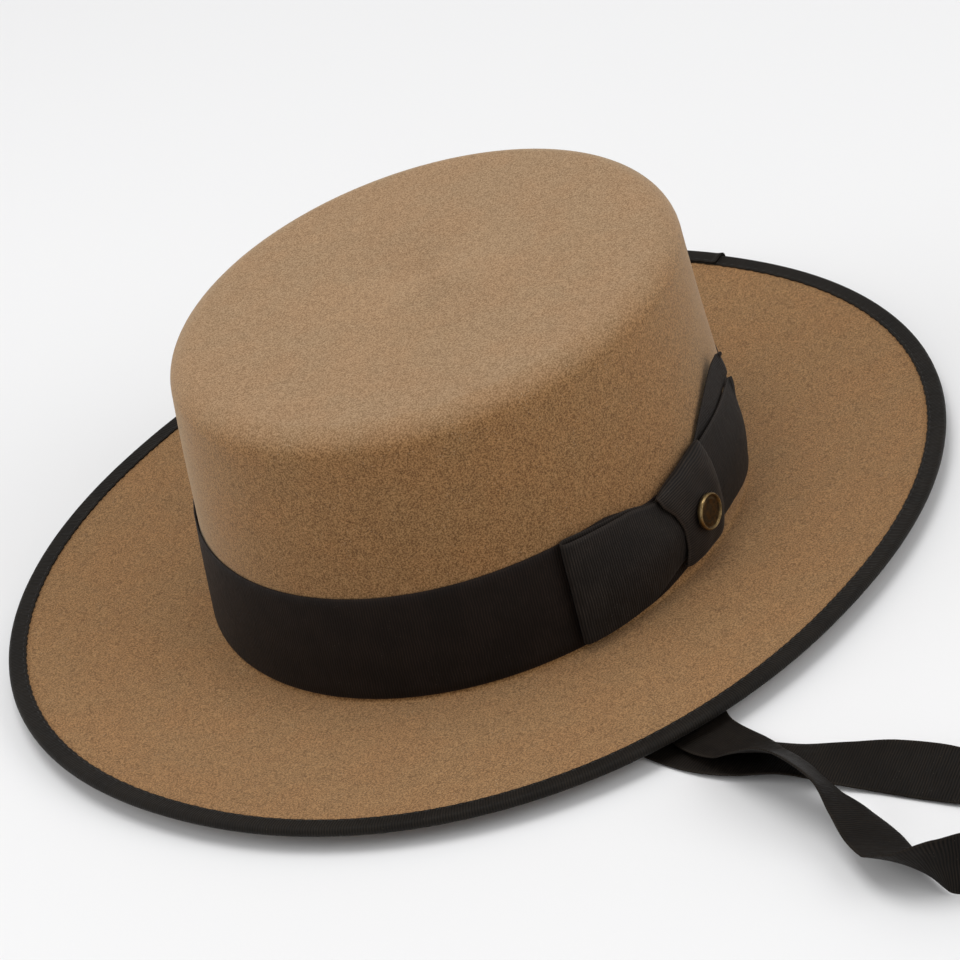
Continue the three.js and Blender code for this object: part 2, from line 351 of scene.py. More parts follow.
def build_mesh(
    name: str,
    points: Sequence[Vector],
    faces: Faces,
    corners: Sequence[tuple[float, float]] = (),
    looks: Sequence[int] = (),
) -> Mesh:
    """Makes a smooth shaded mesh.

    Args:
        name: The mesh's name.
        points: Its vertices.
        faces: Its faces, as numbers of vertices.
        corners: The place on the cloth of each corner of each face, in metres.
        looks: The number of each face's material.

    Returns:
        The mesh, with its cloth places in a layer named cloth.
    """
    mesh = bpy.data.meshes.new(name)
    mesh.from_pydata([tuple(point) for point in points], [], faces)
    if corners:
        layer = mesh.uv_layers.new(name="cloth")
        layer.data.foreach_set("uv", [value for corner in corners for value in corner])
    if looks:
        mesh.polygons.foreach_set("material_index", looks)
    mesh.polygons.foreach_set("use_smooth", [True] * len(mesh.polygons))
    mesh.update()
    return mesh


def ring_points(middle: Vector, side: Vector, other: Vector, radius: float, count: int) -> list[Vector]:
    """Returns points of a circle, from its middle and two directions that are square to each other."""
    return [middle + (side * math.cos(turn) + other * math.sin(turn)) * radius for turn in around(count)]


def ring_faces(near: int, far: int, count: int) -> Faces:
    """Joins two rings of vertices by four-sided faces, from the number of each ring's first vertex."""
    pairs = [(k, (k + 1) % count) for k in range(count)]
    return [(near + k, near + following, far + following, far + k) for k, following in pairs]


def closed_mesh(name: str, rings: Sequence[Sequence[Vector]], looks: Sequence[int]) -> Mesh:
    """Makes a closed mesh from rings of points.

    Args:
        name: The mesh's name.
        rings: The rings, counterclockwise as seen from outside the first. Both end rings are one point.
        looks: The number of the material of each stretch between two rings.

    Returns:
        The mesh.
    """
    count, points = len(rings[1]), [point for ring in rings for point in ring]
    last = len(points) - 1
    faces = [(1 + k, 1 + (k + 1) % count, 0) for k in range(count)]
    for row in range(1, len(rings) - 2):
        faces += ring_faces(1 + row * count, 1 + (row - 1) * count, count)
    faces += [(last, last - count + (k + 1) % count, last - count + k) for k in range(count)]
    return build_mesh(name, points, faces, looks=[look for look in looks for _ in range(count)])


@dataclass(frozen=True)
class RibbonStrip:
    """A flat ribbon with soft edges, bent into place.

    Its place function takes the share along it, the share across it and the height above its middle.
    """

    name: str
    place: Place
    width: float
    steps: int
    columns: int
    thickness: float = 0.6 * MM
    edge_share: float = 0.35
    edge_height: float = 0.45

    def section(self) -> Profile:
        """Lists the points round one section: over the upper face and back along the lower one.

        Returns:
            Pairs of the share across and the height above the middle.
        """
        half = self.thickness / 2.0
        inset = self.edge_share * self.thickness / self.width
        inner = [(share, half) for share in spread(inset, 1.0 - inset, self.columns)]
        upper = [(0.0, half * self.edge_height), *inner, (1.0, half * self.edge_height)]
        return upper + [(share, -height) for share, height in reversed(upper)]

    def mesh(self) -> Mesh:
        """Builds the ribbon's closed mesh.

        Returns:
            The mesh, with the metres along and across the ribbon as its cloth places.
        """
        section, shares = self.section(), spread(0.0, 1.0, self.steps)
        ring, across = len(section), [share * self.width for share, _ in section]
        points = [self.place(along, *station) for along in shares for station in section]
        middles = [self.place(along, 0.5, 0.0) for along in shares]
        runs = [0.0, *accumulate((far - near).length for near, far in zip(middles, middles[1:]))]
        faces, corners = [], []
        for i in range(self.steps):
            near, far = runs[i], runs[i + 1]
            faces += ring_faces(i * ring, (i + 1) * ring, ring)
            for here, there in zip(across, across[1:] + across[:1]):
                corners += [(near, here), (near, there), (far, there), (far, here)]
        for i, order in ((0, 1), (self.steps, -1)):
            for k in range(ring // 2 - 1):
                quad = [k, ring - 1 - k, ring - 2 - k, k + 1][::order]
                faces.append(tuple(i * ring + n for n in quad))
                corners += [(runs[i], across[n]) for n in quad]
        return build_mesh(self.name, points, faces, corners)

    def lay(self, ribbon: Material, node: str) -> Piece:
        """Puts the ribbon in the scene in the place of one of the part's nodes."""
        return new_piece(self.mesh(), Slot.RIBBON, [ribbon], node)


@dataclass(frozen=True)
class Thread:
    """A short length of thread along a line, with closed pointed ends."""

    radius: float
    sides: int = 6
    end_share: float = 0.45

    def add(self, line: Sequence[Vector], points: list[Vector], faces: Faces) -> None:
        """Adds one thread to the lists of a mesh.

        Args:
            line: The thread's middle line.
            points: The mesh's vertices so far.
            faces: The mesh's faces so far.
        """
        first, last = len(points), len(line) - 1
        for i, middle in enumerate(line):
            ahead = (line[min(i + 1, last)] - line[max(i - 1, 0)]).normalized()
            side = ahead.orthogonal().normalized()
            radius = self.radius * (self.end_share if i in (0, last) else 1.0)
            points += ring_points(middle, side, ahead.cross(side), radius, self.sides)
        starts = [first + i * self.sides for i in range(len(line))]
        for near, far in zip(starts, starts[1:]):
            faces += ring_faces(near, far, self.sides)
        faces.append(tuple(reversed(range(first, first + self.sides))))
        faces.append(tuple(range(starts[-1], starts[-1] + self.sides)))


class Wiring:
    """A node tree with short ways to add nodes and join them."""

    MIX_INPUTS = (0, 6, 7)
    MIX_OUTPUT = 2

    def __init__(self, tree: bpy.types.NodeTree) -> None:
        """Keeps the tree."""
        self.tree = tree

    def add(self, kind: str, **settings: object) -> bpy.types.Node:
        """Adds a node.

        Args:
            kind: The node's type name.
            settings: Its settings, by name.

        Returns:
            The node.
        """
        node = self.tree.nodes.new(kind)
        for name, value in settings.items():
            setattr(node, name, value)
        return node

    def join(self, socket: Socket, value: object) -> None:
        """Joins a socket to another one, or gives it a plain value.

        Args:
            socket: The socket.
            value: The other socket, or the value.
        """
        if isinstance(value, Socket):
            self.tree.links.new(value, socket)
        else:
            socket.default_value = value

    def feed(self, node: bpy.types.Node, **values: object) -> None:
        """Feeds the inputs of a node, by their names with underscores for spaces."""
        for name, value in values.items():
            self.join(node.inputs[name.replace("_", " ")], value)

    def math(self, operation: str, *values: object) -> Socket:
        """Adds a math node.

        Args:
            operation: What it works out.
            values: What it works on.

        Returns:
            Its result.
        """
        node = self.add("ShaderNodeMath", operation=operation)
        for socket, value in zip(node.inputs, values):
            self.join(socket, value)
        return node.outputs[0]

    def weighed(self, first: Socket, share: float, second: Socket) -> Socket:
        """Adds two heights, the first by its share and the second by the rest of one."""
        rest = self.math("MULTIPLY", second, 1.0 - share)
        return self.math("MULTIPLY_ADD", first, share, rest)

    def noise(self, place: Socket, scale: object, detail: float = 2.0, rough: float = 0.5) -> Socket:
        """Adds a noise texture.

        Args:
            place: The coordinates it reads.
            scale: Its scale, in waves for each metre.
            detail: How many finer layers it has.
            rough: How strong the finer layers are.

        Returns:
            Its value, about 0.5 on average.
        """
        node = self.add("ShaderNodeTexNoise")
        self.feed(node, Vector=place, Scale=scale, Detail=detail, Roughness=rough)
        return node.outputs["Fac"]

    def span(
        self, value: Socket, low: float, high: float, to_low: float = 0.0, to_high: float = 1.0
    ) -> Socket:
        """Maps a value smoothly from one span to another, held at the ends.

        Args:
            value: The value.
            low: The start of its span.
            high: The end of its span.
            to_low: What the start becomes.
            to_high: What the end becomes.

        Returns:
            The mapped value.
        """
        node = self.add("ShaderNodeMapRange", interpolation_type="SMOOTHSTEP")
        self.feed(node, Value=value, From_Min=low, From_Max=high, To_Min=to_low, To_Max=to_high)
        return node.outputs["Result"]

    def mix(self, share: object, first: object, second: object, mode: str = "MIX") -> Socket:
        """Mixes two colours.

        Args:
            share: How much of the second there is.
            first: The first colour.
            second: The second colour.
            mode: The way of mixing.

        Returns:
            The mixed colour.
        """
        node = self.add("ShaderNodeMix", data_type="RGBA", blend_type=mode)
        for number, value in zip(self.MIX_INPUTS, (share, first, second)):
            self.join(node.inputs[number], value)
        return node.outputs[self.MIX_OUTPUT]

    def split(self, place: Socket) -> Sequence[Socket]:
        """Splits a place into its coordinates.

        Args:
            place: The place.

        Returns:
            The sockets of X, Y and Z.
        """
        node = self.add("ShaderNodeSeparateXYZ")
        self.feed(node, Vector=place)
        return node.outputs

    def scaled(self, place: Socket, scale: tuple[float, float, float]) -> Socket:
        """Stretches coordinates.

        Args:
            place: The coordinates.
            scale: How far each axis is stretched.

        Returns:
            The stretched coordinates.
        """
        node = self.add("ShaderNodeMapping")
        self.feed(node, Vector=place, Scale=scale)
        return node.outputs["Vector"]

    def group(self, tree: bpy.types.NodeTree, **values: object) -> bpy.types.NodeOutputs:
        """Places a node group.

        Args:
            tree: The group.
            values: What its inputs are fed, by their names with underscores for spaces.

        Returns:
            The outputs of the group's node.
        """
        node = self.add("ShaderNodeGroup", node_tree=tree)
        self.feed(node, **values)
        return node.outputs


class Effect(Wiring):
    """A shader node group with named inputs and outputs."""

    def __init__(self, name: str, place: str, inputs: dict[str, float]) -> None:
        """Starts the group with its inputs.

        Args:
            name: The group's name.
            place: The name of its input for coordinates.
            inputs: The usual value of each other input.
        """
        super().__init__(bpy.data.node_groups.new(name, "ShaderNodeTree"))
        interface = self.tree.interface
        interface.new_socket(name=place, in_out="INPUT", socket_type="NodeSocketVector")
        for label, value in inputs.items():
            socket = interface.new_socket(name=label, in_out="INPUT", socket_type="NodeSocketFloat")
            socket.default_value = value
        self.inputs = self.add("NodeGroupInput").outputs

    def give(self, **values: Socket) -> bpy.types.NodeTree:
        """Makes the group's outputs and feeds them.

        Args:
            values: What each output gives, by its name.

        Returns:
            The finished group.
        """
        for label in values:
            self.tree.interface.new_socket(name=label, in_out="OUTPUT", socket_type="NodeSocketFloat")
        self.feed(self.add("NodeGroupOutput"), **values)
        return self.tree


FINE_CONTRAST = (0.37, 0.63)
TUFT_CONTRAST = (0.3, 0.7)
SOFT_CONTRAST = (0.35, 0.65)
GRAIN_HEIGHT = 0.7
RIB_WANDER = 0.7 * MM
RIB_WANDER_WAVES = (60.0, 160.0, 1.0)
YARN_WAVES = (1100.0, 260.0, 1.0)
SELVEDGE_SPAN = (0.9 * MM, 0.5 * MM)
RIB_HEIGHT = 0.8
SPECK_AREAS = 150.0
SPECK_AREA_SPAN = (0.55, 0.62)


def make_nap_group() -> bpy.types.NodeTree:
    """Makes the short matted nap of felt: fine grain, small tufts and wide cloudy patches.

    Returns:
        The group. Grain, Tufts and Patches are values about 0.5, and Height is the height of the nap.
    """
    effect = Effect("Nap", "Vector", {"Grain Scale": 1900.0, "Tuft Scale": 420.0, "Patch Scale": 55.0})
    place = effect.inputs["Vector"]
    grain = effect.noise(place, effect.inputs["Grain Scale"], detail=3.0, rough=0.7)
    tufts = effect.noise(place, effect.inputs["Tuft Scale"], detail=2.0, rough=0.6)
    patches = effect.noise(place, effect.inputs["Patch Scale"], detail=3.0, rough=0.55)
    return effect.give(
        Grain=effect.span(grain, *FINE_CONTRAST),
        Tufts=effect.span(tufts, *TUFT_CONTRAST),
        Patches=effect.span(patches, *SOFT_CONTRAST),
        Height=effect.weighed(grain, GRAIN_HEIGHT, tufts),
    )


def make_grosgrain_group() -> bpy.types.NodeTree:
    """Makes the cross ribs of a grosgrain ribbon from the metres along and across it.

    Returns:
        The group. Rib is 1 on a rib and 0 between ribs, Yarn is the unevenness of the yarn, Selvedge is 1
        along the two woven edges, and Height is the height of the weave.
    """
    effect = Effect("Grosgrain", "Cloth", {"Rib Pitch": 0.88 * MM, "Ribbon Width": 20.0 * MM})
    cloth = effect.inputs["Cloth"]
    along, across, _ = effect.split(cloth)
    wander = effect.noise(effect.scaled(cloth, RIB_WANDER_WAVES), 1.0, detail=1.0)
    shifted = effect.math("MULTIPLY_ADD", wander, RIB_WANDER, along)
    turns = effect.math("DIVIDE", shifted, effect.inputs["Rib Pitch"])
    wave = effect.math("SINE", effect.math("MULTIPLY", turns, FULL_TURN))
    rib = effect.math("MULTIPLY_ADD", wave, 0.5, 0.5)
    yarn = effect.noise(effect.scaled(cloth, YARN_WAVES), 1.0, detail=2.0, rough=0.6)
    middle = effect.math("MULTIPLY", effect.inputs["Ribbon Width"], 0.5)
    off_middle = effect.math("ABSOLUTE", effect.math("SUBTRACT", across, middle))
    to_edge = effect.math("SUBTRACT", middle, off_middle)
    return effect.give(
        Rib=rib,
        Yarn=effect.span(yarn, *TUFT_CONTRAST),
        Selvedge=effect.span(to_edge, *SELVEDGE_SPAN),
        Height=effect.weighed(rib, RIB_HEIGHT, yarn),
    )


def make_wear_group() -> bpy.types.NodeTree:
    """Makes sparse specks and soft wear for any finish.

    Returns:
        The group. Specks is 1 on a few small dots, and Wear is a cloudy value about 0.5.
    """
    inputs = {"Speck Scale": 900.0, "Speck Size": 0.1, "Wear Scale": 90.0}
    effect = Effect("Specks and wear", "Vector", inputs)
    place = effect.inputs["Vector"]
    cells = effect.add("ShaderNodeTexVoronoi")
    effect.feed(cells, Vector=place, Scale=effect.inputs["Speck Scale"])
    near = effect.math("LESS_THAN", cells.outputs["Distance"], effect.inputs["Speck Size"])
    chance = effect.span(effect.noise(place, SPECK_AREAS, detail=1.0), *SPECK_AREA_SPAN)
    wear = effect.noise(place, effect.inputs["Wear Scale"], detail=4.0, rough=0.6)
    return effect.give(Specks=effect.math("MULTIPLY", near, chance), Wear=effect.span(wear, *SOFT_CONTRAST))


@dataclass(frozen=True)
class Effects:
    """The node groups that more than one finish uses."""

    nap: bpy.types.NodeTree
    grosgrain: bpy.types.NodeTree
    wear: bpy.types.NodeTree


class Surface(Wiring):
    """A new material with a Principled shader."""

    def __init__(self, name: str) -> None:
        """Starts the material.

        Args:
            name: The material's name.
        """
        self.material = bpy.data.materials.new(name)
        self.material.use_nodes = True
        super().__init__(self.material.node_tree)
        self.shader = self.tree.nodes["Principled BSDF"]

    def place(self) -> Socket:
        """Returns the coordinates on the object, in metres."""
        return self.add("ShaderNodeTexCoord").outputs["Object"]

    def bump(self, height: Socket, distance: float, strength: float) -> Socket:
        """Makes relief from a height.

        Args:
            height: The height, from 0 to 1.
            distance: What a height of 1 is in metres.
            strength: How much of the relief is kept.

        Returns:
            The normal of the relief.
        """
        node = self.add("ShaderNodeBump")
        self.feed(node, Strength=strength, Distance=distance, Height=height)
        return node.outputs["Normal"]

    def finish(self, **looks: object) -> Material:
        """Feeds the shader's inputs, named with underscores for spaces, and returns the material."""
        self.feed(self.shader, **looks)
        return self.material


@dataclass(frozen=True)
class FeltFinish:
    """Brushed wool felt: its deep and its raised nap, and the paler colour on the crown's flat top, which
    is painted light for the stronger light that falls there.
    """

    name: str
    deep: Colour
    raised: Colour
    # the flat top's colours, paler than the rest of the felt: painted light
    painted_light_deep: Colour
    painted_light_raised: Colour
    ruddy: Colour = (1.03, 0.985, 0.95, 1.0)
    dust: Colour = (0.55, 0.44, 0.3, 1.0)
    dust_share: float = 0.35
    dust_size: float = 0.14
    grain_share: float = 0.85
    tuft_share: float = 0.15
    roughness: tuple[float, float] = (0.85, 0.97)
    gloss: float = 0.2
    sheen: float = 0.35
    sheen_roughness: float = 0.45
    sheen_tint: Colour = (1.0, 0.88, 0.68, 1.0)
    relief: float = 0.25 * MM
    relief_share: float = 0.55
    top_from: float = 91.0 * MM
    top_to: float = 98.0 * MM
    # painted sheen on the flat top: the swirl's light and dark quarters are painted into the colour
    swirl_share: float = 0.11
    swirl_turn: float = 0.6
    swirl_middle: tuple[float, float] = (-5.0 * MM, 0.0)
    swirl_reach: tuple[float, float] = (4.0 * MM, 50.0 * MM)

    def make(self, effects: Effects) -> Material:
        """Builds the material.

        Args:
            effects: The shared node groups.

        Returns:
            The material.
        """
        surface = Surface(self.name)
        place = surface.place()
        nap = surface.group(effects.nap, Vector=place)
        wear = surface.group(effects.wear, Vector=place, Speck_Size=self.dust_size)
        x, y, z = surface.split(place)
        # painted light: a mask that is 1 on the flat top, where the felt takes its paler colours
        top = surface.span(z, self.top_from, self.top_to)
        # painted sheen: the swirl's light and dark quarters raise or lower the share of raised nap on the
        # top
        share = surface.math("MULTIPLY", self.painted_swirl_sheen(surface, x, y), top)
        share = surface.math("MULTIPLY_ADD", nap["Tufts"], self.tuft_share, share)
        share = surface.math("MULTIPLY_ADD", nap["Grain"], self.grain_share, share)
        deep = surface.mix(top, self.deep, self.painted_light_deep)
        raised = surface.mix(top, self.raised, self.painted_light_raised)
        ruddy = surface.mix(nap["Patches"], WHITE, self.ruddy)
        colour = surface.mix(1.0, surface.mix(share, deep, raised), ruddy, "MULTIPLY")
        specks = surface.math("MULTIPLY", wear["Specks"], self.dust_share)
        return surface.finish(
            Base_Color=surface.mix(specks, colour, self.dust),
            Roughness=surface.span(nap["Tufts"], 0.0, 1.0, *self.roughness),
            Normal=surface.bump(nap["Height"], self.relief, self.relief_share),
            Specular_IOR_Level=self.gloss,
            Sheen_Weight=self.sheen,
            Sheen_Roughness=self.sheen_roughness,
            Sheen_Tint=self.sheen_tint,
        )

    def painted_swirl_sheen(self, surface: Surface, x: Socket, y: Socket) -> Socket:
        """Makes painted sheen: light and dark quarters where the nap was brushed round the middle of the
        top.

        Args:
            surface: The material.
            x: The coordinate to the front.
            y: The coordinate to the left.

        Returns:
            A value about 0 that fades away from the middle.
        """
        x = surface.math("SUBTRACT", x, self.swirl_middle[0])
        y = surface.math("SUBTRACT", y, self.swirl_middle[1])
        angle = surface.math("ADD", surface.math("ARCTAN2", y, x), self.swirl_turn)
        quarters = surface.math("COSINE", surface.math("MULTIPLY", angle, 2.0))
        away = surface.math("SQRT", surface.math("MULTIPLY_ADD", x, x, surface.math("MULTIPLY", y, y)))
        fade = surface.span(away, *self.swirl_reach, self.swirl_share, 0.0)
        return surface.math("MULTIPLY", quarters, fade)


@dataclass(frozen=True)
class RibbonFinish:
    """Ribbed grosgrain ribbon: the yarn on the ribs and the shade between them."""

    name: str
    shade: Colour
    yarn: Colour
    width: float
    pitch: float = 0.88 * MM
    relief: float = 0.1 * MM
    relief_share: float = 0.8
    selvedge: float = 0.35
    yarn_tones: tuple[float, float] = (0.6, 1.0)
    cloudy: tuple[Colour, Colour] = ((0.85, 0.85, 0.85, 1.0), (1.15, 1.15, 1.15, 1.0))
    dust: Colour = (0.35, 0.3, 0.24, 1.0)
    dust_share: float = 0.18
    dust_size: float = 0.09
    roughness: tuple[float, float] = (0.56, 0.72)
    gloss: float = 0.16
    sheen: float = 0.03
    sheen_roughness: float = 0.4

    def make(self, effects: Effects) -> Material:
        """Builds the material.

        Args:
            effects: The shared node groups.

        Returns:
            The material.
        """
        surface = Surface(self.name)
        cloth = surface.add("ShaderNodeUVMap", uv_map="cloth").outputs["UV"]
        weave = surface.group(effects.grosgrain, Cloth=cloth, Rib_Pitch=self.pitch, Ribbon_Width=self.width)
        wear = surface.group(effects.wear, Vector=surface.place(), Speck_Size=self.dust_size)
        uneven = surface.span(weave["Yarn"], 0.0, 1.0, *self.yarn_tones)
        share = surface.math("MULTIPLY", weave["Rib"], uneven)
        share = surface.math("MULTIPLY_ADD", weave["Selvedge"], self.selvedge, share)
        cloudy = surface.mix(surface.span(wear["Wear"], 0.0, 1.0), *self.cloudy)
        colour = surface.mix(1.0, surface.mix(share, self.shade, self.yarn), cloudy, "MULTIPLY")
        specks = surface.math("MULTIPLY", wear["Specks"], self.dust_share)
        return surface.finish(
            Base_Color=surface.mix(specks, colour, self.dust),
            Roughness=surface.span(weave["Yarn"], 0.0, 1.0, *self.roughness),
            Normal=surface.bump(weave["Height"], self.relief, self.relief_share),
            Specular_IOR_Level=self.gloss,
            Sheen_Weight=self.sheen,
            Sheen_Roughness=self.sheen_roughness,
        )


@dataclass(frozen=True)
class BrassFinish:
    """Old brass with a dull brown patina."""

    name: str
    bright: Colour
    patina: Colour
    share: float
    roughness: tuple[float, float] = (0.3, 0.55)
    wear_scale: float = 700.0
    scratch_scale: float = 5200.0
    relief: float = 0.02 * MM
    relief_share: float = 0.4

    def make(self, effects: Effects) -> Material:
        """Builds the material.

        Args:
            effects: The shared node groups.

        Returns:
            The material.
        """
        surface = Surface(self.name)
        place = surface.place()
        wear = surface.group(effects.wear, Vector=place, Wear_Scale=self.wear_scale)["Wear"]
        dull = surface.math("MULTIPLY", wear, self.share)
        return surface.finish(
            Base_Color=surface.mix(dull, self.bright, self.patina),
            Metallic=1.0,
            Roughness=surface.span(wear, 0.0, 1.0, *self.roughness),
            Normal=surface.bump(surface.noise(place, self.scratch_scale), self.relief, self.relief_share),
        )


@dataclass(frozen=True)
class ThreadFinish:
    """Twisted sewing thread."""

    name: str
    dark: Colour
    light: Colour
    twist_scale: float = 4200.0
    roughness: float = 0.65
    relief: float = 0.03 * MM
    relief_share: float = 0.5

    def make(self, effects: Effects) -> Material:
        """Builds the material.

        Args:
            effects: The shared node groups.

        Returns:
            The material.
        """
        surface = Surface(self.name)
        grain = surface.group(effects.nap, Vector=surface.place(), Grain_Scale=self.twist_scale)["Grain"]
        return surface.finish(
            Base_Color=surface.mix(grain, self.dark, self.light),
            Roughness=self.roughness,
            Normal=surface.bump(grain, self.relief, self.relief_share),
        )


@dataclass(frozen=True)
class Camera:
    """The camera, at the photograph's viewing angle."""

    position: Vector = Vector((0.84237, 0.76271, 0.71317))
    azimuth: float = 42.0
    elevation: float = 31.37
    roll: float = 13.59
    lens: float = 150.0
    sensor: float = 36.0
    nearest: float = 10.0 * MM

    def build(self) -> None:
        """Makes the camera and sets it as the scene's own."""
        azimuth, elevation, roll = (math.radians(x) for x in (self.azimuth, self.elevation, self.roll))
        back = polar(math.cos(elevation), azimuth, math.sin(elevation))
        level_right = polar(1.0, azimuth + QUARTER_TURN, 0.0)
        level_up = back.cross(level_right)
        right = level_right * math.cos(roll) - level_up * math.sin(roll)
        up = level_right * math.sin(roll) + level_up * math.cos(roll)
        data = bpy.data.cameras.new("camera")
        data.lens = self.lens
        data.sensor_width = self.sensor
        data.clip_start = self.nearest
        camera = add_object("camera", data)
        turned = Matrix((right, up, back)).transposed().to_4x4()
        camera.matrix_world = Matrix.Translation(self.position) @ turned
        bpy.context.scene.camera = camera


@dataclass(frozen=True)
class ChinStrap:
    """The chin strap: one loop of ribbon, sewn to the inner wall at both ends and laid on the floor.

    Each row of the route has the ribbon's middle in metres, and the turn and tilt of its width in degrees.
    """

    width: float = 20.0 * MM
    length: float = 0.695
    steps_per_row: int = 12
    columns: int = 10
    cupping: float = 0.35 * MM
    route: tuple[tuple[float, float, float, float, float], ...] = (
        (0.0337, 0.0756, 0.0340, -19, 0),
        (0.0346, 0.0774, 0.0090, -19, 0),
        (0.0351, 0.0783, 0.0032, -19, 0),
        (0.0366, 0.0820, 0.0009, -20, 0),
        (0.0395, 0.0910, 0.00095, -24, 0),
        (0.0475, 0.1070, 0.0013, -34, 0),
        (0.0590, 0.1195, 0.0021, -42, 0),
        (0.0725, 0.1340, 0.0023, -29, 0),
        (0.0778, 0.1506, 0.0042, -20, 10),
        (0.0816, 0.1600, 0.0078, -21, 26),
        (0.0852, 0.1703, 0.0119, -21, 40),
        (0.0895, 0.1809, 0.0140, -20, 48),
        (0.0929, 0.1918, 0.0116, -20, 52),
        (0.0970, 0.2018, 0.0074, -23, 37),
        (0.1024, 0.2119, 0.0049, -20, 23),
        (0.1090, 0.2219, 0.0056, -8, 28),
        (0.1136, 0.2314, 0.0084, 10, 52),
        (0.1130, 0.2410, 0.0107, 8, 84),
        (0.1087, 0.2485, 0.0105, 4, 100),
        (0.1050, 0.2585, 0.0107, 4, 95),
        (0.0990, 0.2720, 0.0107, 4, 90),
        (0.0825, 0.2825, 0.0107, 4, 90),
        (0.0630, 0.2755, 0.0107, 6, 84),
        (0.0545, 0.2570, 0.0099, 10, 62),
        (0.0603, 0.2415, 0.0053, 10, 24),
        (0.0656, 0.2280, 0.0034, 10, -9),
        (0.0683, 0.2120, 0.0039, 10, -18),
        (0.0698, 0.1970, 0.0033, 11, -13),
        (0.0724, 0.1830, 0.0026, 13, -1),
        (0.0763, 0.1680, 0.0029, 12, 11),
        (0.0792, 0.1520, 0.0015, 7, 4),
        (0.0800, 0.1370, 0.0008, -4, 0),
        (0.0760, 0.1150, 0.00075, -20, 0),
        (0.0540, 0.0705, 0.0007, -20, 0),
        (0.0330, 0.0000, 0.00075, -9, 0),
        (0.0310, -0.0645, 0.00085, 6, 0),
        (0.0340, -0.0734, 0.0018, 18, 0),
        (0.0351, -0.0769, 0.0052, 19, 0),
        (0.0344, -0.0770, 0.0140, 19, 0),
        (0.0337, -0.0756, 0.0340, 19, 0),
    )

    def build(self, ribbon: Material) -> None:
        """Args:
            ribbon: Its material.
        """
        middle = Route([Vector(row[:3]) for row in self.route])
        lay = Route([Vector((math.radians(row[3]), math.radians(row[4]), 0.0)) for row in self.route])

        def place(along: float, share: float, height: float) -> Vector:
            """Finds a point of the strap.

            Args:
                along: The share along the ribbon.
                share: The share across it.
                height: The height above its middle.

            Returns:
                The point.
            """
            ahead = middle.direction(along)
            turn, tilt, _ = lay.at(along)
            across = polar(math.cos(tilt), turn, math.sin(tilt))
            across = (across - ahead * across.dot(ahead)).normalized()
            cup = self.cupping * (2.0 * share - 1.0) ** 2 * math.sin(tilt) ** 2
            raised = across.cross(ahead) * (height - cup)
            return middle.at(along) + across * (share - 0.5) * self.width + raised

        steps = self.steps_per_row * (len(self.route) - 1)
        piece = RibbonStrip("chin_ribbon", place, self.width, steps, self.columns).lay(ribbon, "chin_strap")
        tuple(self.route[0][:3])
        [middle.at(share) for share in spread(0.0, 1.0, steps)]


